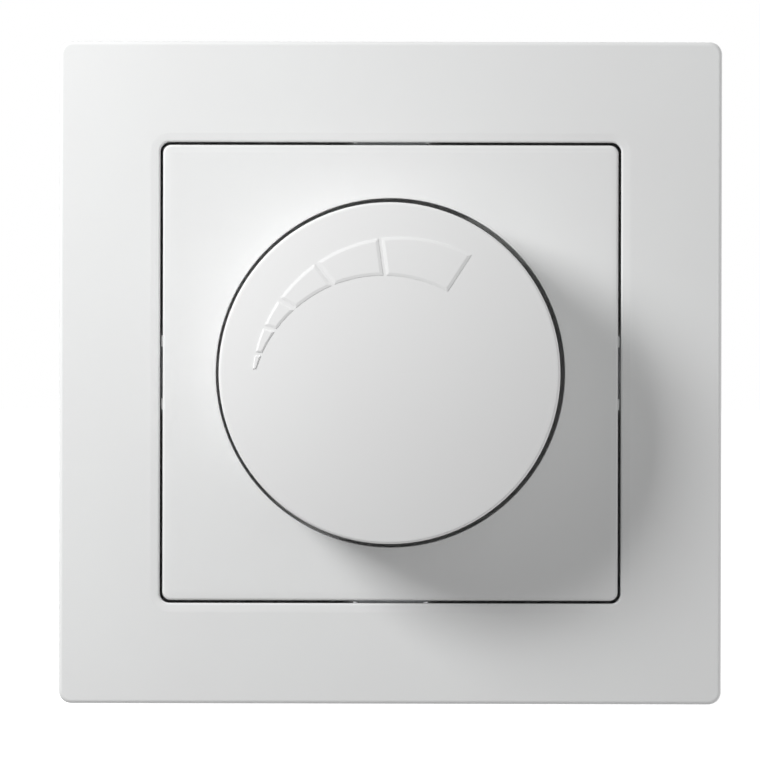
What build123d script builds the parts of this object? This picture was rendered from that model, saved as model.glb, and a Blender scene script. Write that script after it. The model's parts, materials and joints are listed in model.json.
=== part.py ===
from build123d import *
import math
import os

# A flush wall dimmer: cover frame, centre plate and push-to-switch rotary knob in front of the wall, and the
# insert with its steel plate, potentiometer, switch and electronics behind it.
# Every piece is drawn on the bench with x to the right, y up the wall and z out of the wall, which is z = 0.
# The finished pieces are then stood up, so that the wall plane is XZ and the front faces -Y.

# How far a rib, boss or pad is rooted in its body, and how far a rib stays clear of the piece behind it
root_depth = 0.5
rib_clearance = 0.4

# Cover frame
frame_width = 80.0
frame_depth = 9.0
frame_wall = 2.0
frame_corner_radius = 1.5
frame_edge_radius = 0.45
cavity_corner_radius = 0.8
opening_corner_radius = 1.2
opening_edge_radius = 0.3
opening_slope_width = 1.1
opening_slope_drop = 0.1
collar_wall = 1.6
ledge_reach = 2.2
ledge_thickness = 1.4
frame_ribs_per_side = 4
rib_thickness = 1.0
screw_head_notch_width = 9.0
screw_head_notch_height = 3.2

# Centre plate
plate_width = 55.0
plate_gap = 0.35
plate_corner_radius = 1.0
plate_edge_radius = 0.3
plate_slope_width = 0.9
plate_slope_drop = 0.045
plate_wall = 1.6
plate_face_thickness = 1.8
well_edge_radius = 0.12
well_floor_thickness = 1.6
boss_radius = 8.6
nub_length = 1.35
nub_height = 1.0
nub_reach = 0.18
nub_offset = 3.8
nub_below_face = 0.6

# Knob
knob_radius = 20.5
knob_ring_gap = 0.6
knob_draft_growth = 0.05
knob_proud = 10.9
knob_dome = 1.5
knob_apex_flat = 0.4
knob_edge_radius = 1.0
knob_base_radius = 0.3
knob_wall = 1.5
knob_face_thickness = 1.5
knob_ribs = 6
knob_rib_thickness = 1.0
knob_rib_height = 5.5
hub_radius = 5.4
knob_floor_clearance = 0.9
hub_collar_clearance = 0.7
hub_bore_floor = 0.3
shaft_tip_gap = 0.3
push_travel = 1.5

# Raised wedge scale on the knob: between a large circle and an offset smaller one, cut by gaps that spread
# from a centre of their own
wedge_outer_radius = 17.8
wedge_outer_x = 1.32
wedge_outer_y = -1.46
wedge_inner_radius = 16.0
wedge_inner_x = -0.73
wedge_inner_y = -4.27
wedge_gaps_x = 0.97
wedge_gaps_y = 0.6
wedge_start_angle = 57.0
wedge_end_angle = 180.5
wedge_gap_width = 0.42
wedge_gap_angles = (97.9, 127.9, 150.0, 162.9, 174.3)
wedge_rise = 0.14
wedge_flank_width = 0.35
wedge_flank_depth = 0.09
wedge_flank_share = 0.25

# Threaded collar, nut and shaft
shaft_radius = 3.0
shaft_flat = 1.5
drive_flat = 2.0
shaft_flat_lead = 0.2
shaft_chamfer = 0.4
shaft_running_gap = 0.04
hub_fit_gap = 0.02
drive_fit_gap = 0.05
collar_radius = 4.9
collar_chamfer = 0.4
collar_flange_radius = 7.5
collar_flange_thickness = 1.0
collar_hole_gap = 0.15
nut_across_flats = 14.0
nut_thickness = 2.0
nut_chamfer = 0.5
nut_thread_gap = 0.02
collar_beyond_nut = 0.4
clip_width = 3.6
clip_length = 6.0
clip_thickness = 0.25
clip_bow = 0.12
clip_inset = 0.5
clip_front_gap = 0.03
clip_back_gap = 0.1
clip_side_gap = 0.2

# Support plate
sheet = 1.2
support_land = 3.5
support_side_gap = 2.5
support_corner_cut = 8.0
support_corner_radius = 1.5
pad_radius = 10.0
pad_rise = 0.8
pad_slope_width = 1.2
box_screw_pitch = 60.0
box_slot_width = 3.6
box_slot_length = 4.0
level_slot_swing = 16.0
keyhole_radius = 3.4
boss_height = 1.0

# Rear housing
housing_radius = 26.5
housing_flat = 20.5
housing_depth = 27.0
housing_wall = 1.8
housing_shelf = 1.2
housing_edge_radius = 1.0
housing_screw_inset = 3.2
housing_screw_radius = 1.45
housing_screw_head_radius = 2.7
housing_screw_head_height = 1.5
housing_screw_length = 11.0
housing_boss_radius = 2.9
vent_count = 5
vent_width = 1.6
vent_length = 8.0
vent_pitch_angle = 9.0
vent_drop = 1.0
floor_vent_y = 11.0
screw_hole_gap = 0.15
screw_hole_spare = 0.5
screw_slot_width = 0.8
screw_slot_depth = 0.7
screw_tip_taper = 0.3
screw_tip_length = 0.6
screw_head_side_share = 0.55
screw_head_top_share = 0.72

# Potentiometer and push switch behind the plate
case_width = 17.0
case_corner_radius = 1.0
case_wall = 1.2
case_front_wall = 1.4
carrier_hub_radius = 4.5
carrier_running_gap = 0.05
carrier_radius = 6.4
carrier_side_gap = 0.6
carrier_play = 1.0
carrier_disc = 2.4
carrier_hub_below_collar = 0.3
wiper_thickness = 0.4
wiper_radius = 5.2
wiper_width = 1.6
wiper_swing = 50.0
wiper_contact_radius = 0.5
wiper_contact_drop = 0.15
track_gap = 0.1
track_board = 1.0
track_board_gap = 0.15
track_swing = 290.0
track_width = 2.2
track_rise = 0.05
track_hole_radius = 3.8
switch_rim = 2.0
plunger_radius = 2.5
plunger_running_gap = 0.08
plunger_flange_radius = 4.4
plunger_flange = 1.4
plunger_pressed_height = 0.2
plunger_spigot_radius = 1.3
plunger_spigot = 1.0
plunger_spigot_edge = 0.2
spigot_fit_gap = 0.02
bridge_length = 10.0
bridge_width = 3.4
bridge_thickness = 0.4
bridge_contact_radius = 0.8
bridge_contact_drop = 0.3
bridge_contact_inset = 0.4
fixed_contact_radius = 0.9
fixed_contact_head = 0.4
fixed_contact_post_radius = 0.65
contact_closed_gap = 0.1
spring_wire = 0.35
spring_radius = 1.9
spring_turns = 4

# Circuit board and what stands on it
fixed_contact_height = 1.4
board_thickness = 1.6
board_side_gap = 0.25
board_boss_gap = 0.2
triac_x = -0.4
triac_width = 10.0
triac_body_length = 9.0
triac_tab_length = 15.4
triac_tab_thickness = 1.3
triac_body_thickness = 4.4
triac_edge = 0.5
triac_lead_width = 0.8
triac_lead_thickness = 0.5
triac_lead_pitch = 2.54
triac_lead_clearance = 0.7
triac_hole_inset = 2.8
insulator_thickness = 0.3
insulator_margin = 0.6
m3_radius = 1.5
m3_head_radius = 2.75
m3_head_height = 1.6
m3_nut_across_flats = 5.5
m3_nut_thickness = 2.2
m3_beyond_nut = 0.8
choke_x = -6.0
choke_side_clearance = 0.65
choke_top_clearance = 1.9
choke_stand = 0.1
choke_core_wall = 2.7
choke_core_width = 5.6
choke_core_edge = 0.5
winding_thickness = 0.7
winding_gap = 0.02
winding_swing = 300.0
winding_turns = 18
winding_groove = 0.25
winding_groove_width = 0.2
capacitor_x = 4.4
capacitor_width = 6.0
capacitor_length = 11.6
capacitor_height = 10.4
capacitor_edge = 0.6
trimmer_width = 6.6
trimmer_height = 5.0
trimmer_edge = 0.5
trimmer_rotor_radius = 2.2
trimmer_rotor_depth = 1.2
trimmer_rotor_head = 0.5
trimmer_rotor_edge = 0.3
trimmer_slot_depth = 1.2
trimmer_running_gap = 0.08
trimmer_hole_gap = 0.5
varistor_y = 5.0
varistor_radius = 3.6
varistor_thickness = 3.0
varistor_edge = 0.8
varistor_stand = 1.2
varistor_lead_spread = 2.2
lead_radius = 0.3
axial_edge = 0.3
resistor_radius = 1.1
resistor_length = 6.4
resistor_stand = 0.3
resistor_end = 1.2
resistor_side_gap = 1.8
resistor_pitch = 3.6
resistor_y = 0.5
diac_y = -3.4
diac_radius = 0.9
diac_length = 4.0
fuse_length = 20.0
fuse_radius = 2.6
fuse_cap_length = 5.0
fuse_cap_edge = 0.3
fuse_glass_inset = 0.1
clip_strip = 0.5
fuse_clip_width = 4.0
fuse_clip_inset = 0.6
fuse_clip_gap = 0.02
fuse_foot_width = 3.6
fuse_stand = 0.9
fuse_clip_mouth = 100.0

# Terminals at the back
terminal_count = 3
terminal_pitch = 7.2
terminal_outer_wall = 1.2
terminal_inner_wall = 1.5
terminal_side_wall = 1.1
terminal_block_gap = 0.15
clamp_width = 5.0
clamp_height = 5.6
clamp_length = 6.4
clamp_wall = 0.8
clamp_corner_radius = 0.4
clamp_board_gap = 0.6
clamp_thread_wall = 1.5
clamp_gap = 0.15
wire_hole_radius = 1.55
wire_window_margin = 0.5
terminal_screw_radius = 1.45
terminal_screw_head_radius = 2.1
terminal_screw_head_height = 1.6
terminal_screw_recess = 0.6
terminal_screw_seat = 2.0
terminal_screw_tip = 2.6
terminal_screw_gap = 0.15

# Levels worked out from the sizes above, along z
opening_width = plate_width + 2 * plate_gap
collar_width = opening_width + 2 * collar_wall
ledge_top = sheet + ledge_thickness
pad_front = sheet + pad_rise
well_floor_back = pad_front + boss_height
well_floor_front = well_floor_back + well_floor_thickness
nut_front = well_floor_front + nut_thickness
collar_front = nut_front + collar_beyond_nut
knob_base = well_floor_front + push_travel + knob_floor_clearance
hub_base = collar_front + push_travel + hub_collar_clearance
knob_shoulder = frame_depth + knob_proud
knob_ceiling = knob_shoulder - knob_face_thickness
knob_base_outer = knob_radius + knob_draft_growth
well_radius = knob_radius + knob_ring_gap
flange_back = pad_rise - collar_flange_thickness
case_front = flange_back
carrier_top = case_front - case_front_wall - carrier_play
carrier_bottom = carrier_top - carrier_disc
wiper_back = carrier_bottom - wiper_thickness
track_front = wiper_back - wiper_contact_drop - track_gap
track_back = track_front - track_rise - track_board
switch_front = track_back - switch_rim
plunger_ceiling = switch_front - case_wall
shaft_end = switch_front + push_travel + plunger_pressed_height
flange_bottom = plunger_ceiling - plunger_flange
bridge_bottom = flange_bottom - bridge_thickness
fixed_contact_front = bridge_bottom - bridge_contact_drop - push_travel - contact_closed_gap
board_front = fixed_contact_front - fixed_contact_height
board_back = board_front - board_thickness
housing_floor = housing_wall - housing_depth
hub_bore_end = knob_ceiling - hub_bore_floor
shaft_front = hub_bore_end - shaft_tip_gap
well_outer_radius = well_radius + plate_wall
slot_reach = (box_screw_pitch + box_slot_length) / 2
support_room = frame_width / 2 - frame_wall - slot_reach
support_width = 2 * (slot_reach + support_room * support_land / (support_land + support_side_gap))
housing_screw_offset = (housing_radius - housing_screw_inset) / math.sqrt(2)


def wall_reach(x):
    """How far up or down the round inside of the housing reaches at a distance from the middle."""
    return math.sqrt((housing_radius - housing_wall) ** 2 - x ** 2)


def room_middle(x):
    """The middle of the room between the switch case and the round wall."""
    return (case_width / 2 + wall_reach(x)) / 2


# Places on the circuit board, in the room between the switch case and the housing
side_middle = (case_width / 2 + housing_flat - housing_wall) / 2
triac_y = room_middle(abs(triac_x) + triac_tab_length / 2 + insulator_margin)
fuse_y = triac_y
choke_reach = wall_reach(abs(choke_x) + choke_core_width / 2 + winding_thickness)
choke_room = choke_reach - case_width / 2 - 2 * choke_side_clearance
choke_height = min(choke_room, -board_front - choke_stand - choke_top_clearance)
choke_outer_radius = choke_height / 2 - winding_thickness
choke_inner_radius = choke_outer_radius - choke_core_wall
choke_y = -(case_width / 2 + choke_side_clearance + choke_height / 2)
capacitor_y = -room_middle(capacitor_x + capacitor_width / 2)
case_corner_reach = case_width / math.sqrt(2) - (math.sqrt(2) - 1) * case_corner_radius
trimmer_offset = (case_corner_reach + housing_radius - housing_wall) / 2 / math.sqrt(2)
resistor_x = -(housing_flat - housing_wall - resistor_side_gap - resistor_radius)

# Places in the terminal block, from its round outer face inwards
terminal_inside = housing_radius - housing_wall - housing_shelf - terminal_block_gap
pocket_half_width = clamp_width / 2 + clamp_gap
last_terminal_x = (terminal_count - 1) * terminal_pitch / 2
pocket_corner_y = -math.sqrt(terminal_inside ** 2 - (last_terminal_x + pocket_half_width) ** 2)
pocket_outer_y = pocket_corner_y + terminal_outer_wall
clamp_y = pocket_outer_y + clamp_gap + clamp_length / 2
terminal_block_front_y = clamp_y + clamp_length / 2 + clamp_gap + terminal_inner_wall


def slab(outline, low, high):
    """An outline raised from one level to another."""
    return extrude(Pos(0, 0, low) * outline, high - low, dir=(0, 0, 1))


def turned(*corners):
    """A solid of revolution about the knob's axis, from its (radius, level) corners."""
    return revolve(make_face(Plane.XZ * Polyline(*corners, close=True)), Axis.Z)


def rims(body):
    """The whole circles among a body's edges, lowest first."""
    return body.edges().filter_by(GeomType.CIRCLE).filter_by(lambda edge: edge.is_closed).sort_by(Axis.Z)


def eased(face, rim, slope_width, slope_drop, radius):
    """Lets a face fall gently towards one of its rims, and rounds the edge that is left there."""
    body = chamfer(rim, slope_width, slope_drop, reference=face)
    level = frame_depth - slope_drop
    edge = body.edges().filter_by_position(Axis.Z, level - 0.001, level + 0.001)
    return fillet(edge, radius)


def rounded_square(width, radius):
    return RectangleRounded(width, width, radius)


def cut_circle(radius, flat):
    """A round outline with one flat, as on a shaft that turns a knob."""
    return Circle(radius) - Pos(flat + radius, 0) * Rectangle(2 * radius, 2 * radius)


def hexagon(across_flats):
    return RegularPolygon(across_flats / 2, 6, major_radius=False)


def four_times(shape):
    """The shape repeated on the four sides of the square."""
    return [Rot(0, 0, 90 * side) * shape for side in range(4)]


def screw(radius, head_radius, head_height, length):
    """A pan-head screw with a straight slot, its head seated on z = 0 and its shank below."""
    head = turned(
        (0, -length),
        (radius - screw_tip_taper, -length),
        (radius, -length + screw_tip_length),
        (radius, 0),
        (head_radius, 0),
        (head_radius, head_height * screw_head_side_share),
        (head_radius * screw_head_top_share, head_height),
        (0, head_height),
    )
    slot = slab(Rectangle(3 * head_radius, screw_slot_width), head_height - screw_slot_depth, head_height)
    return head - slot


def cover_frame():
    body = slab(rounded_square(frame_width, frame_corner_radius), 0, frame_depth)
    body = fillet(body.faces().sort_by(Axis.Z)[-1].edges(), frame_edge_radius)
    cavity = rounded_square(frame_width - 2 * frame_wall, cavity_corner_radius)
    collar = rounded_square(collar_width, opening_corner_radius + collar_wall)
    opening = rounded_square(opening_width, opening_corner_radius)
    body -= slab(cavity - collar, 0, frame_depth - frame_wall)
    body -= slab(collar, 0, sheet)
    body -= slab(opening, sheet, frame_depth)
    front = body.faces().sort_by(Axis.Z)[-1]
    rim = front.inner_wires()[0].edges()
    body = eased(front, rim, opening_slope_width, opening_slope_drop, opening_edge_radius)
    ledge_inside = opening_width - 2 * ledge_reach
    body += slab(opening - rounded_square(ledge_inside, opening_corner_radius), sheet, ledge_top)

    # Ribs join the collar to the outer wall, clear of the steel plate behind them
    inner_face = collar_width / 2 - collar_wall / 2
    outer_face = frame_width / 2 - frame_wall / 2
    rib_low = sheet + rib_clearance
    rib_high = frame_depth - frame_wall / 2
    rib_spacing = opening_width / frame_ribs_per_side
    for index in range(frame_ribs_per_side):
        along = (index - (frame_ribs_per_side - 1) / 2) * rib_spacing
        place = Pos((inner_face + outer_face) / 2, along)
        body += four_times(slab(place * Rectangle(outer_face - inner_face, rib_thickness), rib_low, rib_high))
    corner_in = math.sqrt(2) * inner_face - opening_corner_radius
    corner_out = math.sqrt(2) * outer_face - root_depth
    corner_place = Rot(0, 0, 45) * Pos((corner_in + corner_out) / 2, 0)
    corner_rib = corner_place * Rectangle(corner_out - corner_in, rib_thickness)
    body += four_times(slab(corner_rib, rib_low, rib_high))

    # Notches give room to the heads of the screws in the wall box
    notch_in = ledge_inside / 2 - root_depth
    notch_out = box_screw_pitch / 2 + screw_head_notch_width / 2
    notch = Pos((notch_in + notch_out) / 2, 0) * Rectangle(notch_out - notch_in, screw_head_notch_width)
    body -= four_times(slab(notch, sheet, sheet + screw_head_notch_height))
    return body


def centre_plate():
    outline = rounded_square(plate_width, plate_corner_radius)
    inside = rounded_square(plate_width - 2 * plate_wall, plate_corner_radius / 2)
    body = slab(outline, ledge_top, frame_depth)
    front = body.faces().sort_by(Axis.Z)[-1]
    body = eased(front, front.edges(), plate_slope_width, plate_slope_drop, plate_edge_radius)
    under_face = frame_depth - plate_face_thickness
    body -= slab(inside, ledge_top, under_face)
    body += slab(Circle(well_outer_radius), well_floor_back, under_face)
    body -= slab(Circle(well_radius), well_floor_front, frame_depth)
    body = fillet(rims(body)[-1], well_edge_radius)
    body += slab(Circle(boss_radius), pad_front, well_floor_back)
    body -= slab(Circle(collar_radius + collar_hole_gap), pad_front, well_floor_front)

    # Ribs from the well to the skirt: one to each side and one into each corner
    skirt_inner = plate_width / 2 - plate_wall
    rib_low = well_floor_back + rib_clearance
    rib_high = under_face + root_depth
    side_in = well_outer_radius - root_depth
    side_out = skirt_inner + root_depth
    side_rib = Pos((side_in + side_out) / 2, 0) * Rectangle(side_out - side_in, rib_thickness)
    body += four_times(slab(side_rib, rib_low, rib_high))
    corner_out = math.sqrt(2) * skirt_inner
    corner_place = Rot(0, 0, 45) * Pos((side_in + corner_out) / 2, 0)
    corner_rib = corner_place * Rectangle(corner_out - side_in, rib_thickness)
    body += four_times(slab(corner_rib, rib_low, rib_high))

    # Small nubs at the left and right centre the plate in the frame's opening
    nub_high = frame_depth - nub_below_face
    nub_depth = 2 * root_depth + nub_reach
    nub_x = plate_width / 2 + nub_reach - nub_depth / 2
    for side in (-1, 1):
        for offset in (-nub_offset, nub_offset):
            nub = Pos(side * nub_x, offset) * Rectangle(nub_depth, nub_length)
            body += slab(nub, nub_high - nub_height, nub_high)
    return body


def domed_disc(rise, low, low_radius):
    """The knob's body from a level up to its domed face, which is raised by a step."""
    edge = knob_shoulder + rise
    apex = edge + knob_dome
    sides = Polyline((knob_apex_flat, apex), (0, apex), (0, low), (low_radius, low), (knob_radius, edge))
    sphere_radius = (knob_radius ** 2 + knob_dome ** 2) / (2 * knob_dome)
    fall = sphere_radius - math.sqrt(sphere_radius ** 2 - (knob_radius / 2) ** 2)
    face = ThreePointArc((knob_radius, edge), (knob_radius / 2, apex - fall), (knob_apex_flat, apex))
    return revolve(make_face(Plane.XZ * (sides + face)), Axis.Z)


def wedge_outlines():
    """The six pads of the wedge scale, cut from a crescent by narrow gaps."""
    crescent = Pos(wedge_outer_x, wedge_outer_y) * Circle(wedge_outer_radius)
    crescent -= Pos(wedge_inner_x, wedge_inner_y) * Circle(wedge_inner_radius)
    reach = 2 * knob_radius
    sector_angles = (wedge_start_angle, (wedge_start_angle + wedge_end_angle) / 2, wedge_end_angle)
    corners = [(reach * math.cos(math.radians(a)), reach * math.sin(math.radians(a))) for a in sector_angles]
    gaps_centre = Pos(wedge_gaps_x, wedge_gaps_y)
    pads = crescent & gaps_centre * Polygon((0, 0), *corners, align=None)
    for angle in wedge_gap_angles:
        pads -= gaps_centre * Rot(0, 0, angle) * Pos(reach / 2, 0) * Rectangle(reach, wedge_gap_width)
    return pads.faces()


def wedge_pad(outline):
    """One pad: it follows the domed face and falls off towards its rim, over at most a share of its width."""
    pad = slab(outline, knob_shoulder - root_depth, knob_shoulder + knob_dome + 2 * wedge_rise)
    pad &= domed_disc(wedge_rise, knob_shoulder - root_depth, knob_radius)
    mean_width = 2 * outline.area / outline.outer_wire().length
    flank = min(wedge_flank_width, wedge_flank_share * mean_width)
    top = pad.faces().sort_by(Axis.Z)[-1]
    return chamfer(top.edges(), flank, wedge_flank_depth, reference=top)


def rotary_knob():
    body = domed_disc(0, knob_base, knob_base_outer)
    body = fillet(rims(body)[1], knob_edge_radius)
    body = fillet(rims(body)[0], knob_base_radius)
    for outline in wedge_outlines():
        body += wedge_pad(outline)

    # Hollow inside, with a hub for the shaft carried on ribs
    body -= turned(
        (0, knob_base),
        (knob_base_outer - knob_wall, knob_base),
        (knob_radius - knob_wall, knob_ceiling),
        (0, knob_ceiling),
    )
    rib_low = knob_ceiling - knob_rib_height
    rib_high = knob_ceiling + root_depth
    rib_outer = knob_radius - knob_wall / 2
    carrier = slab(Circle(hub_radius), hub_base, rib_high)
    for index in range(knob_ribs):
        rib = Rot(0, 0, (index + 0.5) * 360 / knob_ribs) * Pos(rib_outer / 2, 0)
        carrier += slab(rib * Rectangle(rib_outer, knob_rib_thickness), rib_low, rib_high)
    bore = cut_circle(shaft_radius + hub_fit_gap, shaft_flat + hub_fit_gap)
    carrier -= slab(bore, hub_base, hub_bore_end)
    clip_depth = shaft_flat + clip_front_gap + clip_bow + clip_thickness + clip_back_gap
    clip_room = Pos(clip_depth / 2, 0) * Rectangle(clip_depth, clip_width + 2 * clip_side_gap)
    carrier -= slab(clip_room, hub_base, hub_base + clip_length + 2 * clip_inset)
    return body + carrier


def knob_spring_clip():
    """A bowed leaf between the shaft's flat and the hub."""
    low = hub_base + clip_inset
    middle = low + clip_length / 2
    high = low + clip_length
    near = shaft_flat + clip_front_gap
    inner = ThreePointArc((near, low), (near + clip_bow, middle), (near, high))
    outer = ThreePointArc((near + clip_thickness, high), (near + clip_bow + clip_thickness, middle),
                          (near + clip_thickness, low))
    ends = Line(inner @ 1, outer @ 0) + Line(outer @ 1, inner @ 0)
    leaf = make_face(Plane.XZ * (inner + outer + ends))
    return extrude(leaf, clip_width / 2, both=True)


def control_shaft():
    round_low = flange_back + carrier_hub_below_collar + push_travel
    body = slab(cut_circle(shaft_radius, drive_flat), shaft_end, round_low)
    flat_low = hub_base - shaft_flat_lead
    body += slab(Circle(shaft_radius), round_low, flat_low)
    body += slab(cut_circle(shaft_radius, shaft_flat), flat_low, shaft_front)
    return chamfer(body.edges().group_by(Axis.Z)[-1], shaft_chamfer)


def threaded_collar():
    return turned(
        (shaft_radius + shaft_running_gap, flange_back),
        (collar_flange_radius, flange_back),
        (collar_flange_radius, pad_rise),
        (collar_radius, pad_rise),
        (collar_radius, collar_front - collar_chamfer),
        (collar_radius - collar_chamfer, collar_front),
        (shaft_radius + shaft_running_gap, collar_front),
    )


def collar_nut():
    body = slab(hexagon(nut_across_flats), well_floor_front, nut_front)
    corner = nut_across_flats / math.sqrt(3)
    body &= turned(
        (0, well_floor_front),
        (corner, well_floor_front),
        (corner, nut_front - nut_chamfer),
        (corner - 2 * nut_chamfer, nut_front),
        (0, nut_front),
    )
    return body - slab(Circle(collar_radius + nut_thread_gap), well_floor_front, nut_front)


def support_plate():
    outline = Rectangle(support_width, support_width)
    outline = chamfer(outline.vertices(), support_corner_cut)
    outline = fillet(outline.vertices(), support_corner_radius)
    body = slab(outline, 0, sheet)

    # Raised round pad in the middle, pressed out of the sheet
    body += turned((0, sheet), (pad_radius + pad_slope_width, sheet), (pad_radius, pad_front), (0, pad_front))
    inner = pad_radius - pad_rise
    body -= turned((0, 0), (inner + pad_slope_width, 0), (inner, pad_rise), (0, pad_rise))
    body -= slab(Circle(collar_radius + collar_hole_gap), 0, pad_front)

    # Slots for the wall box screws: straight at the sides, curved with a keyhole above and below
    for side in (-1, 1):
        slot = SlotCenterToCenter(box_slot_length - box_slot_width, box_slot_width)
        body -= slab(Pos(side * box_screw_pitch / 2, 0) * slot, 0, sheet)
    for middle in (90, 270):
        arc = CenterArc((0, 0), box_screw_pitch / 2, middle - level_slot_swing, 2 * level_slot_swing)
        body -= slab(SlotArc(arc, box_slot_width), 0, sheet)
        body -= slab(Pos(arc @ 1) * Circle(keyhole_radius), 0, sheet)

    for place in housing_screw_places():
        body -= slab(place * Circle(housing_screw_radius + screw_hole_gap), 0, sheet)
    trimmer_hole = Pos(trimmer_offset, -trimmer_offset) * Circle(trimmer_rotor_radius + trimmer_hole_gap)
    body -= slab(trimmer_hole, 0, sheet)
    body -= slab(triac_hole_place() * Circle(m3_radius + screw_hole_gap), 0, sheet)
    return body


def housing_screw_places():
    return [Pos(side * housing_screw_offset, side * housing_screw_offset) for side in (-1, 1)]


def triac_hole_place():
    return Pos(triac_x + triac_tab_length / 2 - triac_hole_inset, triac_y)


def housing_outline(inset):
    """The housing's round outline with flats at the sides, shrunk by an inset."""
    return Circle(housing_radius - inset) & Rectangle(2 * (housing_flat - inset), 2 * housing_radius)


def terminal_outline(gap):
    """The terminal block's outline: its outer face follows the round inside of the housing."""
    inside = terminal_inside + terminal_block_gap - gap
    half_width = last_terminal_x + pocket_half_width + terminal_side_wall + terminal_block_gap - gap
    low = -housing_radius
    high = terminal_block_front_y + terminal_block_gap - gap
    strip = Pos(0, (low + high) / 2) * Rectangle(2 * half_width, high - low)
    return Circle(inside) & strip


def terminal_xs():
    return [index * terminal_pitch - last_terminal_x for index in range(terminal_count)]


def rear_housing():
    body = slab(housing_outline(0), -housing_depth, 0)
    body = fillet(body.faces().sort_by(Axis.Z)[0].edges(), housing_edge_radius)
    body -= slab(housing_outline(housing_wall), board_back, 0)
    body -= slab(housing_outline(housing_wall + housing_shelf), housing_floor, board_back)
    for place in housing_screw_places():
        boss = slab(place * Circle(housing_boss_radius), housing_floor - root_depth, 0)
        body += boss & slab(housing_outline(0), -housing_depth, 0)
        body -= slab(place * Circle(housing_screw_radius), -housing_screw_length - screw_hole_spare, 0)

    # Window in the floor for the terminal block, and wire windows in the lower wall
    body -= slab(terminal_outline(0), -housing_depth, housing_floor)
    window = Rot(90, 0, 0) * Circle(wire_hole_radius + wire_window_margin)
    for x in terminal_xs():
        place = Pos(x, -housing_radius, clamp_middle())
        body -= extrude(place * window, 2 * (housing_wall + housing_shelf), both=True)

    # Vent slots round the upper wall and in the floor
    for index in range(vent_count):
        angle = 90 + (index - (vent_count - 1) / 2) * vent_pitch_angle
        vent = extrude(Rot(0, 90, 0) * SlotOverall(vent_length, vent_width), housing_wall, both=True)
        place = Pos(housing_radius - housing_wall / 2, 0, board_front / 2 - vent_drop)
        body -= Rot(0, 0, angle) * place * vent
        across = (index - (vent_count - 1) / 2) * 2 * vent_width
        floor_vent = Pos(across, floor_vent_y) * Rot(0, 0, 90) * SlotOverall(vent_length, vent_width)
        body -= slab(floor_vent, -housing_depth, housing_floor)
    return body


def housing_screws():
    one = screw(housing_screw_radius, housing_screw_head_radius, housing_screw_head_height,
                housing_screw_length + sheet)
    return [place * Pos(0, 0, sheet) * one for place in housing_screw_places()]


def case_inside():
    """The square room inside the potentiometer's case and the switch's case."""
    return rounded_square(case_width - 2 * case_wall, case_corner_radius / 2)


def potentiometer_case():
    body = slab(rounded_square(case_width, case_corner_radius), switch_front, case_front)
    body -= slab(Circle(carrier_radius + carrier_side_gap), track_front, case_front - case_front_wall)
    body -= slab(case_inside(), switch_front, track_front)
    return body - slab(Circle(carrier_hub_radius + carrier_running_gap), track_front, case_front)


def wiper_carrier():
    body = slab(Circle(carrier_radius), carrier_bottom, carrier_top)
    body += slab(Circle(carrier_hub_radius), carrier_top, case_front - carrier_hub_below_collar)
    bore = cut_circle(shaft_radius + drive_fit_gap, drive_flat + drive_fit_gap)
    return body - slab(bore, carrier_bottom, case_front)


def wiper_spring():
    arc = CenterArc((0, 0), wiper_radius, 90 - wiper_swing, 2 * wiper_swing)
    body = slab(SlotArc(arc, wiper_width), wiper_back, carrier_bottom)
    for end in (0, 1):
        contact = Pos(arc @ end) * Circle(wiper_contact_radius)
        body += slab(contact, wiper_back - wiper_contact_drop, wiper_back)
    return body


def resistance_track():
    width = case_width - 2 * case_wall - 2 * track_board_gap
    board_top = track_front - track_rise
    body = slab(rounded_square(width, case_corner_radius / 2), track_back, board_top)
    arc = CenterArc((0, 0), wiper_radius, -90 + (360 - track_swing) / 2, track_swing)
    body += slab(SlotArc(arc, track_width), board_top, track_front)
    return body - slab(Circle(track_hole_radius), track_back, track_front)


def push_switch_case():
    body = slab(rounded_square(case_width, case_corner_radius), board_front, switch_front)
    rim = case_width - 2 * case_wall - 2 * track_board_gap
    body += slab(rounded_square(rim, case_corner_radius / 2), switch_front, track_back)
    body -= slab(rounded_square(rim - 2 * case_wall, case_corner_radius / 2), switch_front, track_back)
    body -= slab(case_inside(), board_front, plunger_ceiling)
    return body - slab(Circle(plunger_radius + plunger_running_gap), plunger_ceiling, switch_front)


def switch_plunger():
    spigot_end = bridge_bottom - plunger_spigot
    return turned(
        (0, spigot_end),
        (plunger_spigot_radius - plunger_spigot_edge, spigot_end),
        (plunger_spigot_radius, spigot_end + plunger_spigot_edge),
        (plunger_spigot_radius, flange_bottom),
        (plunger_flange_radius, flange_bottom),
        (plunger_flange_radius, plunger_ceiling),
        (plunger_radius, plunger_ceiling),
        (plunger_radius, shaft_end),
        (0, shaft_end),
    )


def contact_bridge():
    body = slab(SlotOverall(bridge_length, bridge_width), bridge_bottom, flange_bottom)
    for side in (-1, 1):
        contact = Pos(side * bridge_contact_place(), 0) * Circle(bridge_contact_radius)
        body += slab(contact, bridge_bottom - bridge_contact_drop, bridge_bottom)
    return body - slab(Circle(plunger_spigot_radius + spigot_fit_gap), bridge_bottom, flange_bottom)


def bridge_contact_place():
    return bridge_length / 2 - bridge_contact_radius - bridge_contact_inset


def fixed_contacts():
    post = turned(
        (0, board_front),
        (fixed_contact_post_radius, board_front),
        (fixed_contact_post_radius, fixed_contact_front - fixed_contact_head),
        (fixed_contact_radius, fixed_contact_front - fixed_contact_head),
        (fixed_contact_radius, fixed_contact_front),
        (0, fixed_contact_front),
    )
    return [Pos(side * bridge_contact_place(), 0) * post for side in (-1, 1)]


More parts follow.
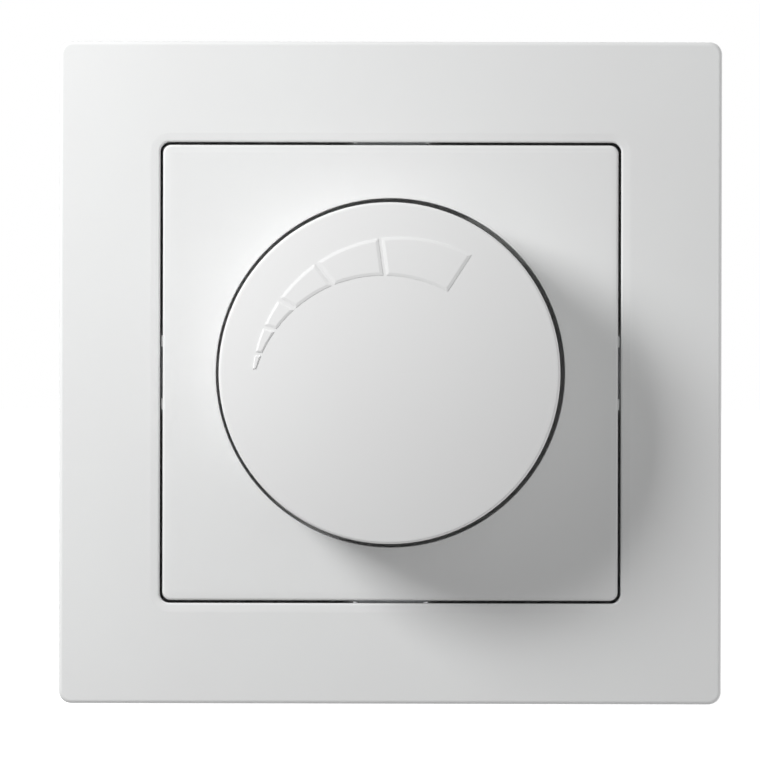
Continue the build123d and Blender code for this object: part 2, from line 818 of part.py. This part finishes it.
def switch_spring():
    """A compression spring that stands on the circuit board and lifts the plunger."""
    low = board_front + spring_wire / 2
    height = bridge_bottom - spring_wire / 2 - low
    path = Pos(0, 0, low) * Helix(height / spring_turns, height, spring_radius)
    section = Plane(origin=path @ 0, z_dir=path % 0) * RegularPolygon(spring_wire / 2, 6)
    return sweep(section, path=path)


def circuit_board():
    outline = housing_outline(housing_wall + board_side_gap)
    for place in housing_screw_places():
        outline -= place * Circle(housing_boss_radius + board_boss_gap)
    return slab(outline, board_back, board_front)


def triac():
    tab_front = -insulator_thickness
    tab_back = tab_front - triac_tab_thickness
    body_back = tab_front - triac_body_thickness
    left = triac_x - triac_tab_length / 2
    tab = Pos(triac_x, triac_y) * Rectangle(triac_tab_length, triac_width)
    corners = tab.vertices().group_by(Axis.X)[-1]
    tab = chamfer(corners, triac_edge * 2)
    body = slab(tab, tab_back, tab_front)
    case = Pos(left + triac_body_length / 2, triac_y) * Rectangle(triac_body_length, triac_width)
    case = slab(case, body_back, tab_back)
    case = chamfer(case.faces().sort_by(Axis.Z)[0].edges(), triac_edge)
    body += case
    lead_level = (tab_back + body_back) / 2
    bend = -fuse_length / 2 - triac_lead_clearance - triac_lead_thickness
    for index in (-1, 0, 1):
        across = triac_y + index * triac_lead_pitch
        out = Pos((bend + left) / 2, across) * Rectangle(left - bend, triac_lead_width)
        body += slab(out, lead_level - triac_lead_thickness, lead_level)
        foot = Pos(bend + triac_lead_thickness / 2, across)
        body += slab(foot * Rectangle(triac_lead_thickness, triac_lead_width), board_front, lead_level)
    return body - slab(triac_hole_place() * Circle(m3_radius + screw_hole_gap), tab_back, tab_front)


def triac_insulator():
    pad = Pos(triac_x, triac_y) * RectangleRounded(
        triac_tab_length + 2 * insulator_margin, triac_width + 2 * insulator_margin, insulator_margin)
    pad -= triac_hole_place() * Circle(m3_radius + screw_hole_gap)
    return slab(pad, -insulator_thickness, 0)


def triac_screw():
    nut_back = -insulator_thickness - triac_tab_thickness - m3_nut_thickness
    one = screw(m3_radius, m3_head_radius, m3_head_height, sheet - nut_back + m3_beyond_nut)
    return triac_hole_place() * Pos(0, 0, sheet) * one


def triac_nut():
    front = -insulator_thickness - triac_tab_thickness
    nut = hexagon(m3_nut_across_flats) - Circle(m3_radius + nut_thread_gap)
    return slab(triac_hole_place() * nut, front - m3_nut_thickness, front)


def choke_place():
    """The ring core stands on edge on the board, with its axis along x."""
    centre = board_front + choke_stand + choke_height / 2
    return Pos(choke_x, choke_y, centre) * Rot(0, 90, 0)


def choke_section(grow):
    """The core's radial section on the XZ plane, grown on every side."""
    middle = (choke_outer_radius + choke_inner_radius) / 2
    radial = choke_outer_radius - choke_inner_radius + 2 * grow
    along = choke_core_width + 2 * grow
    return Plane.XZ * Pos(middle, 0) * chamfer(Rectangle(radial, along).vertices(), choke_core_edge)


def choke_core():
    return choke_place() * revolve(choke_section(0), Axis.Z)


def choke_winding():
    """A close wound layer round the core, grooved between its turns."""
    start = (360 - winding_swing) / 2
    section = choke_section(winding_thickness) - choke_section(winding_gap)
    layer = Rot(0, 0, start) * revolve(section, Axis.Z, winding_swing)
    groove = extrude(choke_section(2 * winding_thickness) - choke_section(winding_thickness - winding_groove),
                     winding_groove_width / 2, both=True)
    for turn in range(1, winding_turns):
        layer -= Rot(0, 0, start + turn * winding_swing / winding_turns) * groove
    return choke_place() * layer


def film_capacitor():
    outline = Pos(capacitor_x, capacitor_y) * Rectangle(capacitor_width, capacitor_length)
    body = slab(outline, board_front, board_front + capacitor_height)
    sides = body.edges().filter_by(Axis.Z) + body.faces().sort_by(Axis.Z)[-1].edges()
    return fillet(sides, capacitor_edge)


def trimmer_base():
    top = board_front + trimmer_height
    outline = Pos(trimmer_offset, -trimmer_offset) * Rectangle(trimmer_width, trimmer_width)
    body = slab(outline, board_front, top)
    body = chamfer(body.edges().filter_by(Axis.Z), trimmer_edge)
    hole = Pos(trimmer_offset, -trimmer_offset) * Circle(trimmer_rotor_radius + trimmer_running_gap)
    return body - slab(hole, top - trimmer_rotor_depth, top)


def trimmer_rotor():
    low = board_front + trimmer_height - trimmer_rotor_depth
    high = sheet - trimmer_rotor_head
    body = slab(Circle(trimmer_rotor_radius), low, high)
    body = chamfer(body.edges().group_by(Axis.Z)[-1], trimmer_rotor_edge)
    slot = Rectangle(3 * trimmer_rotor_radius, screw_slot_width)
    body -= slab(slot, high - trimmer_slot_depth, high)
    return Pos(trimmer_offset, -trimmer_offset) * body


def varistor():
    centre = board_front + varistor_stand + varistor_radius
    disc = Pos(side_middle, varistor_y, centre) * Rot(90, 0, 0) * Circle(varistor_radius)
    body = extrude(disc, varistor_thickness / 2, both=True)
    body = chamfer(body.edges().filter_by(GeomType.CIRCLE), varistor_edge)
    for side in (-1, 1):
        lead = Pos(side_middle + side * varistor_lead_spread, varistor_y) * Circle(lead_radius)
        body += slab(lead, board_front, centre)
    return body


def axial_part(body_radius, length, stand, reach):
    """A round component lying along y over the board, with its two leads bent down to it."""
    centre = stand + body_radius
    middle = Pos(0, 0, centre) * Rot(90, 0, 0) * Circle(body_radius)
    body = extrude(middle, length / 2, both=True)
    body = chamfer(body.edges().filter_by(GeomType.CIRCLE), axial_edge)
    end = length / 2 + reach
    wire = Pos(0, 0, centre) * Rot(90, 0, 0) * Circle(lead_radius)
    body += extrude(wire, end, both=True)
    for side in (-1, 1):
        body += slab(Pos(0, side * (end - lead_radius)) * Circle(lead_radius), 0, centre)
    return body


def resistors():
    one = axial_part(resistor_radius, resistor_length, resistor_stand, resistor_end)
    places = [Pos(resistor_x + index * resistor_pitch, resistor_y, board_front) for index in range(2)]
    return [place * one for place in places]


def diac():
    one = axial_part(diac_radius, diac_length, resistor_stand, resistor_end)
    return Pos(side_middle, diac_y, board_front) * one


def fuse_centre():
    return board_front + fuse_stand + clip_strip + fuse_radius


def fuse():
    """A glass fuse lying along x: a cap at each end and a slightly thinner tube between."""
    half = fuse_length / 2
    waist = half - fuse_cap_length
    glass = fuse_radius - fuse_glass_inset
    body = turned(
        (0, -half),
        (fuse_radius - fuse_cap_edge, -half),
        (fuse_radius, -half + fuse_cap_edge),
        (fuse_radius, -waist),
        (glass, -waist),
        (glass, waist),
        (fuse_radius, waist),
        (fuse_radius, half - fuse_cap_edge),
        (fuse_radius - fuse_cap_edge, half),
        (0, half),
    )
    return Pos(0, fuse_y, fuse_centre()) * Rot(0, 90, 0) * body


def fuse_clips():
    """Two sprung clips: an open ring round each cap on a foot that stands on the board."""
    ring = Circle(fuse_radius + clip_strip) - Circle(fuse_radius + fuse_clip_gap)
    reach = 3 * fuse_radius
    mouth = [(reach * math.cos(math.radians(a)), reach * math.sin(math.radians(a)))
             for a in (90 - fuse_clip_mouth / 2, 90 + fuse_clip_mouth / 2)]
    ring -= Polygon((0, 0), *mouth, align=None)
    foot_height = fuse_stand + clip_strip
    foot = Pos(0, -fuse_radius - foot_height / 2) * Rectangle(fuse_foot_width, foot_height)
    profile = ring + (foot - Circle(fuse_radius + clip_strip / 2))
    upright = Plane(origin=(0, fuse_y, fuse_centre()), x_dir=(0, 1, 0), z_dir=(1, 0, 0)) * profile
    one = extrude(upright, fuse_clip_width / 2, both=True)
    place = fuse_length / 2 - fuse_clip_width / 2 - fuse_clip_inset
    return [Pos(side * place, 0, 0) * one for side in (-1, 1)]


def clamp_front():
    return board_back - clamp_board_gap


def clamp_back():
    return clamp_front() - clamp_height


def clamp_middle():
    """The level of the wire's axis inside a clamp."""
    low = clamp_back() + clamp_thread_wall
    high = clamp_front() - clamp_wall
    return (low + high) / 2


def screw_seat():
    """The level on which the heads of the terminal screws turn."""
    return clamp_back() - terminal_screw_seat


def terminal_block():
    block_back = screw_seat() - terminal_screw_head_height - terminal_screw_recess
    body = slab(terminal_outline(terminal_block_gap), block_back, board_back)
    pocket_back = clamp_back() - clamp_gap
    for x in terminal_xs():
        pocket = Pos(x, clamp_y) * Rectangle(2 * pocket_half_width, clamp_length + 2 * clamp_gap)
        body -= slab(pocket, pocket_back, board_back)
        driver = Pos(x, clamp_y) * Circle(terminal_screw_head_radius + terminal_screw_gap)
        body -= slab(driver, block_back, pocket_back)
        wire = Pos(x, clamp_y - housing_radius / 2, clamp_middle()) * Rot(90, 0, 0) * Circle(wire_hole_radius)
        body -= extrude(wire, housing_radius / 2, both=True)
    return body


def terminal_clamps():
    middle = (clamp_front() + clamp_back()) / 2
    outer = RectangleRounded(clamp_width, clamp_height, clamp_corner_radius)
    inner = Rectangle(clamp_width - 2 * clamp_wall, clamp_height - clamp_wall - clamp_thread_wall)
    inner = Pos(0, (clamp_thread_wall - clamp_wall) / 2) * inner
    one = extrude(Plane.XZ * (outer - inner), clamp_length / 2, both=True)
    one = Pos(0, clamp_y, middle) * one
    thread = Pos(0, clamp_y) * Circle(terminal_screw_radius + nut_thread_gap)
    one -= slab(thread, clamp_back(), clamp_middle())
    return [Pos(x, 0, 0) * one for x in terminal_xs()]


def terminal_screws():
    """Screws with their heads in the wells of the block's back and their tips in the clamps."""
    length = terminal_screw_seat + terminal_screw_tip
    one = screw(terminal_screw_radius, terminal_screw_head_radius, terminal_screw_head_height, length)
    return [Pos(x, clamp_y, screw_seat()) * Rot(180, 0, 0) * one for x in terminal_xs()]


pieces = {
    "cover_frame": cover_frame(),
    "centre_plate": centre_plate(),
    "rotary_knob": rotary_knob(),
    "knob_spring_clip": knob_spring_clip(),
    "control_shaft": control_shaft(),
    "threaded_collar": threaded_collar(),
    "collar_nut": collar_nut(),
    "support_plate": support_plate(),
    "rear_housing": rear_housing(),
    "housing_screws": housing_screws(),
    "potentiometer_case": potentiometer_case(),
    "wiper_carrier": wiper_carrier(),
    "wiper_spring": wiper_spring(),
    "resistance_track": resistance_track(),
    "push_switch_case": push_switch_case(),
    "switch_plunger": switch_plunger(),
    "contact_bridge": contact_bridge(),
    "fixed_contacts": fixed_contacts(),
    "switch_spring": switch_spring(),
    "circuit_board": circuit_board(),
    "triac": triac(),
    "triac_insulator": triac_insulator(),
    "triac_screw": triac_screw(),
    "triac_nut": triac_nut(),
    "choke_core": choke_core(),
    "choke_winding": choke_winding(),
    "film_capacitor": film_capacitor(),
    "trimmer_base": trimmer_base(),
    "trimmer_rotor": trimmer_rotor(),
    "varistor": varistor(),
    "resistors": resistors(),
    "diac": diac(),
    "fuse": fuse(),
    "fuse_clips": fuse_clips(),
    "terminal_block": terminal_block(),
    "terminal_clamps": terminal_clamps(),
    "terminal_screws": terminal_screws(),
}

# Stand the pieces up and write one file for each
stand_up = Rot(90, 0, 0)
os.makedirs("parts", exist_ok=True)
for name, piece in pieces.items():
    solids = piece if isinstance(piece, list) else [piece]
    upright = [stand_up * solid for solid in solids]
    shape = upright[0] if len(upright) == 1 else Compound(children=upright)
    export_step(shape, f"parts/{name}.step")
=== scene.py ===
import json
import math

import bpy
from mathutils import Matrix, Vector

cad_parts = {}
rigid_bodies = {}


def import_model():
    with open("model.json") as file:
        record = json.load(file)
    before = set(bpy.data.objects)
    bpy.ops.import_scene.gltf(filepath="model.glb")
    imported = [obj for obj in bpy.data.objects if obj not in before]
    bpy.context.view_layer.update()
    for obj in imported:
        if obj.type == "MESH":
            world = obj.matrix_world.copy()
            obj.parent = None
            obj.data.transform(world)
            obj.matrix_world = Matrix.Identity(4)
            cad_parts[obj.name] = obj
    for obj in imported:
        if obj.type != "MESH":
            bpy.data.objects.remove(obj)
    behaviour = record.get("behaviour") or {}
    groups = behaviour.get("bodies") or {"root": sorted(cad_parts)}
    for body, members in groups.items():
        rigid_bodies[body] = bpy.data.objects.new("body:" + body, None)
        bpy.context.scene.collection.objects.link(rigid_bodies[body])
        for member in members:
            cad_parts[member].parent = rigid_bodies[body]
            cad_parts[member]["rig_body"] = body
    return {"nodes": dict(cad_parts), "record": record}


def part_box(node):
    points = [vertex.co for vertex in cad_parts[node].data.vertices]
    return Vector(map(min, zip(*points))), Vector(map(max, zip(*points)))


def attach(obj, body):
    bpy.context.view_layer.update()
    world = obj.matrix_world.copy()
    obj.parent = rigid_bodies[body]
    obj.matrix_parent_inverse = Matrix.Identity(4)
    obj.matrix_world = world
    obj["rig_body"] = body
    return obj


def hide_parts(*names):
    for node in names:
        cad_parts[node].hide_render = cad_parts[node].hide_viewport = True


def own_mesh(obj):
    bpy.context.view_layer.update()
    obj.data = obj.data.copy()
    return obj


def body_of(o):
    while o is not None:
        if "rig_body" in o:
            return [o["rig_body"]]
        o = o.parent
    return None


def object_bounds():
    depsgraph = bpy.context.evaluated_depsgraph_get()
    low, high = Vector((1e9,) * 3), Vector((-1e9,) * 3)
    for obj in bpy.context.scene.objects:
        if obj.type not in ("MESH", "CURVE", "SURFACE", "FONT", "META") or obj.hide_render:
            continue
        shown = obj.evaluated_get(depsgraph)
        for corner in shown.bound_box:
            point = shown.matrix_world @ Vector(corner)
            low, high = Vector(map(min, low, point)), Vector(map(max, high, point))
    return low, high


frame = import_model()
cad_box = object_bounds()

# Lengths are metres in the CAD frame: the front faces -Y, the wall plane is Y = 0, +Z is up
MM = 0.001
IMAGE_SIZE = 760


def add_object(name, data):
    """A new object with the given data, linked to the scene."""
    added = bpy.data.objects.new(name, data)
    bpy.context.scene.collection.objects.link(added)
    return added


# Shader nodes

NOISE_DETAIL = 3.0
COLOUR_SPREAD = (0.3, 0.7)


def new_material(name):
    """A material with an empty node tree."""
    material = bpy.data.materials.new(name)
    material.use_nodes = True
    material.node_tree.nodes.clear()
    return material


class Shader:
    """A small builder round one material's node tree."""

    def __init__(self, name):
        self.material = new_material(name)
        self.tree = self.material.node_tree
        self.bsdf = self.add("ShaderNodeBsdfPrincipled")
        self.output = self.add("ShaderNodeOutputMaterial")
        self.link(self.bsdf.outputs["BSDF"], self.output.inputs["Surface"])
        self.place = self.add("ShaderNodeTexCoord").outputs["Object"]

    def add(self, kind):
        return self.tree.nodes.new(kind)

    def link(self, source, target):
        self.tree.links.new(source, target)

    def set(self, **values):
        """Sets inputs of the main shader, named with _ for each space."""
        for label, value in values.items():
            self.bsdf.inputs[label.replace("_", " ")].default_value = value

    def noise(self, per_mm, detail=NOISE_DETAIL):
        """Noise with a given number of lumps per millimetre."""
        texture = self.add("ShaderNodeTexNoise")
        texture.inputs["Scale"].default_value = per_mm / MM
        texture.inputs["Detail"].default_value = detail
        self.link(self.place, texture.inputs["Vector"])
        return texture.outputs["Fac"]

    def colours(self, factor, low, high):
        """Blends two colours by a factor."""
        node = self.add("ShaderNodeValToRGB")
        for element, position, colour in zip(node.color_ramp.elements, COLOUR_SPREAD, (low, high)):
            element.position = position
            element.color = (*colour, 1)
        self.link(factor, node.inputs["Fac"])
        self.link(node.outputs["Color"], self.bsdf.inputs["Base Color"])

    def roughness(self, factor, low, high):
        """Maps a 0 to 1 factor onto two roughness values."""
        node = self.add("ShaderNodeMapRange")
        node.inputs["To Min"].default_value = low
        node.inputs["To Max"].default_value = high
        self.link(factor, node.inputs["Value"])
        self.link(node.outputs["Result"], self.bsdf.inputs["Roughness"])

    def bump(self, height, depth_mm):
        """Turns a 0 to 1 height into a relief of a given depth."""
        node = self.add("ShaderNodeBump")
        node.inputs["Distance"].default_value = depth_mm * MM
        self.link(height, node.inputs["Height"])
        self.link(node.outputs["Normal"], self.bsdf.inputs["Normal"])


# Materials: noise in lumps per millimetre, and the depth of a finish in millimetres

PLASTIC_CLOUDS = 0.05
PLASTIC_PATCHES = 0.4
PLASTIC_GRAIN = 6.0
PLASTIC_GRAIN_DETAIL = 2.0
PLASTIC_GRAIN_DEPTH = 0.004
METAL_SPANGLE = 0.25
METAL_SPANGLE_DETAIL = 4.0
METAL_PATCHES = 1.0
METAL_GRAIN = 2.0
METAL_GRAIN_DEPTH = 0.004
TINT_CLOUDS = 0.3
TINT_PATCHES = 0.8
TINT_WAVES = 1.5
TINT_WAVE_DEPTH = 0.006


def moulded_plastic(name, low, high, rough=(0.3, 0.36), specular=0.5,
                    grain=PLASTIC_GRAIN, grain_depth=PLASTIC_GRAIN_DEPTH):
    """Plastic with a faint cloudiness and the fine grain of an eroded mould."""
    shader = Shader(name)
    shader.colours(shader.noise(PLASTIC_CLOUDS), low, high)
    shader.roughness(shader.noise(PLASTIC_PATCHES), *rough)
    shader.bump(shader.noise(grain, PLASTIC_GRAIN_DETAIL), grain_depth)
    shader.set(Specular_IOR_Level=specular)
    return shader.material


def plated_metal(name, low, high, rough):
    """Metal with the spangle of its finish."""
    shader = Shader(name)
    shader.colours(shader.noise(METAL_SPANGLE, METAL_SPANGLE_DETAIL), low, high)
    shader.roughness(shader.noise(METAL_PATCHES), *rough)
    shader.bump(shader.noise(METAL_GRAIN), METAL_GRAIN_DEPTH)
    shader.set(Metallic=1.0)
    return shader.material


def tinted(name, low, high, rough, coat):
    """A smooth coated or glassy surface with a slight tint change."""
    shader = Shader(name)
    shader.colours(shader.noise(TINT_CLOUDS), low, high)
    shader.roughness(shader.noise(TINT_PATCHES), *rough)
    shader.bump(shader.noise(TINT_WAVES), TINT_WAVE_DEPTH)
    shader.set(Coat_Weight=coat)
    return shader.material


materials = {
    "cover_plastic": moulded_plastic(
        "white_plastic", (0.797, 0.80, 0.799), (0.81, 0.818, 0.815), (0.42, 0.48), specular=0.4),
    "knob_plastic": moulded_plastic(
        "knob_plastic", (0.832, 0.832, 0.832), (0.838, 0.842, 0.84), (0.5, 0.56), specular=0.3),
    "zinc_steel": plated_metal(
        "zinc_steel", (0.46, 0.47, 0.49), (0.54, 0.55, 0.56), (0.46, 0.6)),
    "screw_steel": plated_metal(
        "screw_steel", (0.62, 0.60, 0.53), (0.72, 0.70, 0.63), (0.22, 0.34)),
    "nickel_brass": plated_metal(
        "nickel_brass", (0.72, 0.58, 0.32), (0.80, 0.67, 0.40), (0.2, 0.32)),
    "spring_steel": plated_metal(
        "spring_steel", (0.60, 0.60, 0.60), (0.70, 0.70, 0.71), (0.18, 0.3)),
    "shaft_plastic": moulded_plastic(
        "shaft_plastic", (0.02, 0.02, 0.021), (0.028, 0.028, 0.03)),
    "housing_plastic": moulded_plastic(
        "housing_plastic", (0.022, 0.023, 0.025), (0.032, 0.033, 0.036), (0.42, 0.55),
        grain=4.0, grain_depth=0.012),
    "terminal_plastic": moulded_plastic(
        "terminal_plastic", (0.28, 0.29, 0.29), (0.34, 0.35, 0.35), (0.4, 0.5)),
    "switch_plastic": moulded_plastic(
        "switch_plastic", (0.012, 0.012, 0.014), (0.02, 0.02, 0.022), (0.35, 0.45)),
    "track_carbon": moulded_plastic(
        "track_carbon", (0.05, 0.03, 0.02), (0.08, 0.05, 0.035), (0.45, 0.6)),
    "board_laminate": moulded_plastic(
        "board_laminate", (0.012, 0.085, 0.03), (0.02, 0.11, 0.04), (0.25, 0.4)),
    "epoxy_black": moulded_plastic(
        "epoxy_black", (0.012, 0.012, 0.012), (0.02, 0.02, 0.02), (0.5, 0.6)),
    "insulator_grey": moulded_plastic(
        "insulator_grey", (0.2, 0.2, 0.21), (0.25, 0.25, 0.26), (0.6, 0.7)),
    "ferrite": moulded_plastic(
        "ferrite", (0.02, 0.02, 0.022), (0.035, 0.035, 0.037), (0.5, 0.7),
        grain=3.0, grain_depth=0.02),
    "copper_wire": tinted(
        "copper_wire", (0.42, 0.12, 0.04), (0.5, 0.17, 0.06), (0.2, 0.3), coat=0.8),
    "capacitor_plastic": moulded_plastic(
        "capacitor_plastic", (0.62, 0.4, 0.03), (0.68, 0.46, 0.04), (0.25, 0.35)),
    "trimmer_white": moulded_plastic(
        "trimmer_white", (0.72, 0.72, 0.68), (0.76, 0.76, 0.72)),
    "varistor_coating": tinted(
        "varistor_coating", (0.012, 0.05, 0.2), (0.02, 0.07, 0.26), (0.2, 0.35), coat=0.4),
    "resistor_coating": tinted(
        "resistor_coating", (0.45, 0.3, 0.15), (0.52, 0.36, 0.19), (0.25, 0.4), coat=0.3),
    "diac_glass": tinted(
        "diac_glass", (0.3, 0.06, 0.02), (0.38, 0.09, 0.03), (0.1, 0.2), coat=0.6),
    "fuse_glass": tinted(
        "fuse_glass", (0.62, 0.65, 0.65), (0.7, 0.73, 0.73), (0.06, 0.12), coat=0.6),
}

# Every CAD node gets the finish of its material slot, and the knob a slightly lighter one
for row in frame["record"]["subparts"]:
    node = frame["nodes"][row["node"]]
    node.data.materials.clear()
    finish = "knob_plastic" if row["node"] == "rotary_knob" else row["material_slot"]
    node.data.materials.append(materials[finish])


# Knob: the solid with a crisper rounding where its face meets its side

KNOB_RADIUS = 20.5 * MM
KNOB_DOME = 1.5 * MM
KNOB_ROUNDING = 1.0 * MM
CRISP_ROUNDING = 0.4 * MM
RIM_TOLERANCE = 0.02 * MM


def rounding_centre(rounding):
    """Distance from the axis, and Y, of the centre of a rounding between the domed face and the side."""
    sphere = (KNOB_RADIUS ** 2 + KNOB_DOME ** 2) / (2 * KNOB_DOME)
    reach = KNOB_RADIUS - rounding
    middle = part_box("rotary_knob")[0][1] + sphere
    return reach, middle - math.sqrt((sphere - rounding) ** 2 - reach ** 2)


def crisp_knob():
    """A copy of the knob whose rounded rim is drawn in to the crisp rounding, with its shading kept."""
    node = frame["nodes"]["rotary_knob"]
    mesh = node.data.copy()
    normals = [corner.vector.copy() for corner in node.data.corner_normals]
    old_reach, old_y = rounding_centre(KNOB_ROUNDING)
    new_reach, new_y = rounding_centre(CRISP_ROUNDING)
    share = CRISP_ROUNDING / KNOB_ROUNDING
    for vertex in mesh.vertices:
        radius = math.hypot(vertex.co.x, vertex.co.z)
        out, back = radius - old_reach, vertex.co.y - old_y
        on_rim = abs(math.hypot(out, back) - KNOB_ROUNDING) < RIM_TOLERANCE
        if on_rim and out > 0 and back < RIM_TOLERANCE:
            scale = (new_reach + out * share) / radius
            vertex.co = (vertex.co.x * scale, new_y + back * share, vertex.co.z * scale)
    mesh.normals_split_custom_set(normals)
    knob = add_object("knob_shell", mesh)
    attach(knob, *body_of(node))
    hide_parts("rotary_knob")


crisp_knob()


# Switch spring: a copy of the solid, shown in its place


def pressed_spring():
    """A copy of the spring, fixed to the root body in place of the solid."""
    node = frame["nodes"]["switch_spring"]
    spring = add_object("spring_coil", node.data.copy())
    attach(spring, "root")
    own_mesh(spring)
    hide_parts("switch_spring")


pressed_spring()


# Camera: far off and nearly square to the switch, a little above it and to its right

FRAME_WIDTH = 80 * MM
FRAME_WIDTH_PIXELS = 662.2
FRAME_CENTRE_PIXEL = (390.3, 372.8)
CAMERA_DISTANCE = 1.5
CAMERA_AZIMUTH = math.radians(0.6)
CAMERA_ELEVATION = math.radians(0.2)
CAMERA_ROLL = math.radians(0.12)
SENSOR_WIDTH = 36.0
CAMERA_CLIP = (0.01, 20.0)

front_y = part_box("cover_frame")[0][1]


def place_camera():
    """Frames the cover frame at the photo's size and place."""
    pixel = FRAME_WIDTH / FRAME_WIDTH_PIXELS
    offset_x = (FRAME_CENTRE_PIXEL[0] - IMAGE_SIZE / 2) * pixel
    offset_z = (IMAGE_SIZE / 2 - FRAME_CENTRE_PIXEL[1]) * pixel
    target = Vector((-offset_x, front_y, -offset_z))
    towards_camera = Vector((
        math.sin(CAMERA_AZIMUTH) * math.cos(CAMERA_ELEVATION),
        -math.cos(CAMERA_AZIMUTH) * math.cos(CAMERA_ELEVATION),
        math.sin(CAMERA_ELEVATION),
    ))
    aim = (-towards_camera).to_track_quat("-Z", "Y").to_matrix()
    data = bpy.data.cameras.new("camera")
    data.sensor_width = SENSOR_WIDTH
    data.lens = SENSOR_WIDTH * CAMERA_DISTANCE / (IMAGE_SIZE * pixel)
    data.clip_start, data.clip_end = CAMERA_CLIP
    camera = add_object("camera", data)
    camera.location = target + towards_camera * CAMERA_DISTANCE
    camera.rotation_euler = (aim @ Matrix.Rotation(CAMERA_ROLL, 3, "Z")).to_euler()
    bpy.context.scene.camera = camera


place_camera()


# Light: a soft lamp close by at the upper left, a pale wall behind the switch, a dimmer room before it

KEY_PLACE = Vector((-216, -158, 144)) * MM
KEY_SIZE = 110 * MM
KEY_WATTS = 0.88
WALL_LEVEL = 0.75
WALL_SLOPE = (0.4, 0.0, -0.3)
ROOM_LEVEL = 0.345
ROOM_SLOPE = (0.325, 0.0, 0.015)


def key_lamp():
    """A square lamp that looks at the middle of the cover frame's face."""
    data = bpy.data.lights.new("key", "AREA")
    data.shape = "SQUARE"
    data.size = KEY_SIZE
    data.energy = KEY_WATTS
    lamp = add_object("key", data)
    lamp.location = Vector((0, front_y, 0)) + KEY_PLACE
    lamp.rotation_euler = KEY_PLACE.to_track_quat("Z", "Y").to_euler()
    lamp.visible_camera = False


def maths(tree, operation, first, second):
    """The result of a maths node; first is a socket, and second a socket or a number."""
    node = tree.nodes.new("ShaderNodeMath")
    node.operation = operation
    tree.links.new(first, node.inputs[0])
    if isinstance(second, float):
        node.inputs[1].default_value = second
    else:
        tree.links.new(second, node.inputs[1])
    return node.outputs["Value"]


def seen_directly(tree):
    """A factor that is 1 for camera, glossy and transmission rays."""
    path = tree.nodes.new("ShaderNodeLightPath").outputs
    camera_or_glossy = maths(tree, "MAXIMUM", path["Is Camera Ray"], path["Is Glossy Ray"])
    return maths(tree, "MAXIMUM", camera_or_glossy, path["Is Transmission Ray"])


def sloped(tree, direction, level, slope):
    """A strength that changes evenly with direction, from level - |slope| to level + |slope|."""
    share = tree.nodes.new("ShaderNodeVectorMath")
    share.operation = "DOT_PRODUCT"
    share.inputs[1].default_value = slope
    tree.links.new(direction, share.inputs[0])
    return maths(tree, "ADD", share.outputs["Value"], level)


def room_light(tree):
    """The light's strength by direction: the room's before the switch, the wall's behind it."""
    direction = tree.nodes.new("ShaderNodeTexCoord").outputs["Generated"]
    axes = tree.nodes.new("ShaderNodeSeparateXYZ")
    strength = tree.nodes.new("ShaderNodeMix")
    tree.links.new(direction, axes.inputs["Vector"])
    tree.links.new(maths(tree, "GREATER_THAN", axes.outputs["Y"], 0.0), strength.inputs["Factor"])
    tree.links.new(sloped(tree, direction, ROOM_LEVEL, ROOM_SLOPE), strength.inputs["A"])
    tree.links.new(sloped(tree, direction, WALL_LEVEL, WALL_SLOPE), strength.inputs["B"])
    return strength.outputs["Result"]


def setup_world():
    """The room's light, and a white background where the world is seen directly."""
    world = bpy.data.worlds.new("studio")
    bpy.context.scene.world = world
    world.use_nodes = True
    tree = world.node_tree
    tree.nodes.clear()
    light = tree.nodes.new("ShaderNodeBackground")
    white = tree.nodes.new("ShaderNodeBackground")
    for background in (light, white):
        background.inputs["Color"].default_value = (1, 1, 1, 1)
    mix = tree.nodes.new("ShaderNodeMixShader")
    out = tree.nodes.new("ShaderNodeOutputWorld")
    tree.links.new(room_light(tree), light.inputs["Strength"])
    tree.links.new(seen_directly(tree), mix.inputs["Fac"])
    tree.links.new(light.outputs["Background"], mix.inputs[1])
    tree.links.new(white.outputs["Background"], mix.inputs[2])
    tree.links.new(mix.outputs["Shader"], out.inputs["Surface"])


key_lamp()
setup_world()


# Floor: pale, and nearly white to the camera; it takes the object's shadow and throws nothing back

FLOOR_HALF = 6.0
FLOOR_DROP = 0.2 * MM
FLOOR_COLOUR = (0.6, 0.6, 0.6, 1)
FLOOR_GLOW = 0.8


def floor_material():
    """A pale paint that also glows where it is seen directly."""
    material = new_material("floor_paint")
    tree = material.node_tree
    diffuse = tree.nodes.new("ShaderNodeBsdfDiffuse")
    diffuse.inputs["Color"].default_value = FLOOR_COLOUR
    glow = tree.nodes.new("ShaderNodeEmission")
    add = tree.nodes.new("ShaderNodeAddShader")
    out = tree.nodes.new("ShaderNodeOutputMaterial")
    tree.links.new(maths(tree, "MULTIPLY", seen_directly(tree), FLOOR_GLOW), glow.inputs["Strength"])
    tree.links.new(diffuse.outputs["BSDF"], add.inputs[0])
    tree.links.new(glow.outputs["Emission"], add.inputs[1])
    tree.links.new(add.outputs["Shader"], out.inputs["Surface"])
    return material


def lay_floor():
    """A level square just under the object."""
    level = cad_box[0][2] - FLOOR_DROP
    corners = [(x * FLOOR_HALF, y * FLOOR_HALF, level) for x, y in ((-1, -1), (1, -1), (1, 1), (-1, 1))]
    mesh = bpy.data.meshes.new("floor")
    mesh.from_pydata(corners, [], [(0, 1, 2, 3)])
    mesh.materials.append(floor_material())
    floor = add_object("floor", mesh)
    floor.visible_diffuse = False
    floor.visible_shadow = False


lay_floor()

bpy.context.scene.view_settings.view_transform = "Standard"
